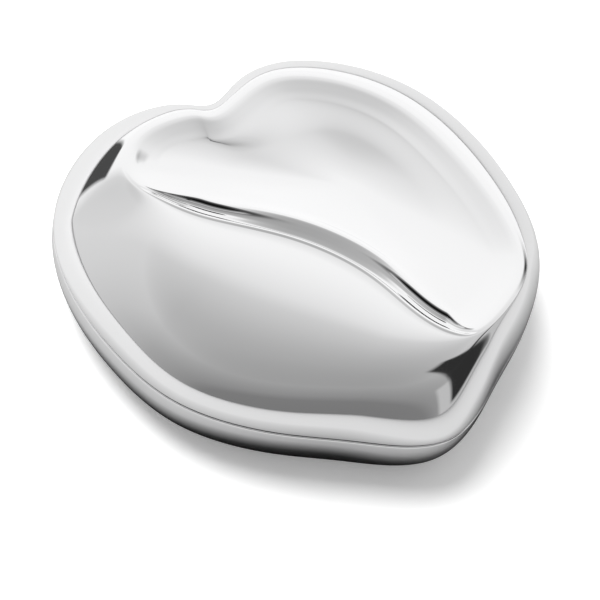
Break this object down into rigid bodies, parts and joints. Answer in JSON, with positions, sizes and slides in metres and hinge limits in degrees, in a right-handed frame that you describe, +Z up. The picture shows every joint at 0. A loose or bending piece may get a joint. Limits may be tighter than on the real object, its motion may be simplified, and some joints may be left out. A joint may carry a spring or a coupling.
{
  "type": "wind-up music box",
  "caption": "Heart-shaped polished metal case with a dished lid, an S-shaped ridge and groove, a hinged lid, a lined tray and a wound-spring pinned-cylinder movement.",
  "frame": {"origin": "middle of the resting face under the felt pad", "axes": "+Z up; +Y towards the heart's cleft, -Y towards its tip; -X is the side of the near, sloping half of the lid"},
  "size_m": [0.1256, 0.1244, 0.037],
  "materials": {
    "polished_steel": "mirror polished",
    "hinge_steel": "satin",
    "velvet": "short velvet pile",
    "felt": "dense felt",
    "rubber": "matte",
    "zinc": "die cast, tumbled",
    "brass": "machined",
    "gear_brass": "cut teeth",
    "spring_steel": "blued edge",
    "comb_steel": "ground",
    "screw_steel": "zinc plated",
    "nylon": "moulded",
    "clear_cover": "clear moulded"
  },
  "bodies": {
    "case": {"base_shell": "polished_steel", "felt_base_pad": "felt", "rim_bumpers": "rubber", "hinge_leaf_base": "hinge_steel", "hinge_pin": "hinge_steel", "hinge_screws_base": "screw_steel", "bedplate": "zinc", "cylinder_bearing_inner": "brass", "cylinder_bearing_outer": "brass", "governor_bearing": "brass", "governor_frame": "hinge_steel", "movement_screws": "screw_steel", "spring_housing": "hinge_steel", "housing_screws": "screw_steel", "mainspring": "spring_steel", "comb": "comb_steel", "comb_support": "zinc", "comb_screws": "screw_steel", "plunger_guide": "brass", "plunger_spring": "spring_steel", "jewel_tray": "velvet", "movement_cover": "clear_cover"},
    "lid": {"lid_shell": "polished_steel", "lid_liner": "velvet", "hinge_leaf_lid": "hinge_steel", "hinge_screws_lid": "screw_steel"},
    "drive": {"drive_wheel": "gear_brass", "clutch_spring": "spring_steel"},
    "winding": {"winding_arbor": "comb_steel", "winding_key": "polished_steel"},
    "cylinder": {"cylinder_barrel": "brass", "cylinder_end_caps": "brass", "cylinder_shaft": "comb_steel", "cylinder_pins": "comb_steel", "cylinder_pinion": "gear_brass", "cylinder_gear": "gear_brass"},
    "governor_arbor": {"governor_shaft": "comb_steel", "governor_pinion": "comb_steel", "worm_wheel": "nylon"},
    "fan": {"worm_shaft": "comb_steel", "air_brake": "nylon"},
    "plunger": {"stop_plunger": "comb_steel", "stop_wire": "spring_steel"}
  },
  "joints": [
    {"name": "lid_hinge", "type": "hinge", "parent": "case", "child": "lid", "pos_m": [0.05019, 0.0492, 0.011], "axis": [-0.7071, 0.7071, 0], "range_deg": [0, 95]},
    {"name": "fan_spin", "type": "hinge", "parent": "case", "child": "fan", "pos_m": [-0.0029, 0.0258, 0.0201], "axis": [0, 0, 1], "continuous": true},
    {"name": "governor_spin", "type": "hinge", "parent": "case", "child": "governor_arbor", "pos_m": [0.003, 0.0258, 0.0201], "axis": [0, 1, 0], "continuous": true},
    {"name": "cylinder_spin", "type": "hinge", "parent": "case", "child": "cylinder", "pos_m": [0.012, 0.013, 0.0201], "axis": [0, 1, 0], "continuous": true},
    {"name": "drive_spin", "type": "hinge", "parent": "case", "child": "drive", "pos_m": [0.012, -0.012, 0.0245], "axis": [0, 0, 1], "continuous": true},
    {"name": "key_wind", "type": "hinge", "parent": "drive", "child": "winding", "pos_m": [0.012, -0.012, 0.01], "axis": [0, 0, 1], "continuous": true},
    {"name": "plunger_slide", "type": "slide", "parent": "case", "child": "plunger", "axis": [0, 0, 1], "range_m": [0, 0.0025], "deforming": ["plunger_spring"]}
  ],
  "couplings": [
    {"joint": "governor_spin", "follows": "fan_spin", "ratio": -0.05},
    {"joint": "cylinder_spin", "follows": "fan_spin", "ratio": 0.0125},
    {"joint": "drive_spin", "follows": "fan_spin", "ratio": -0.003125},
    {"joint": "plunger_slide", "follows": "lid_hinge", "m_per_rad": 0.0015078}
  ]
}
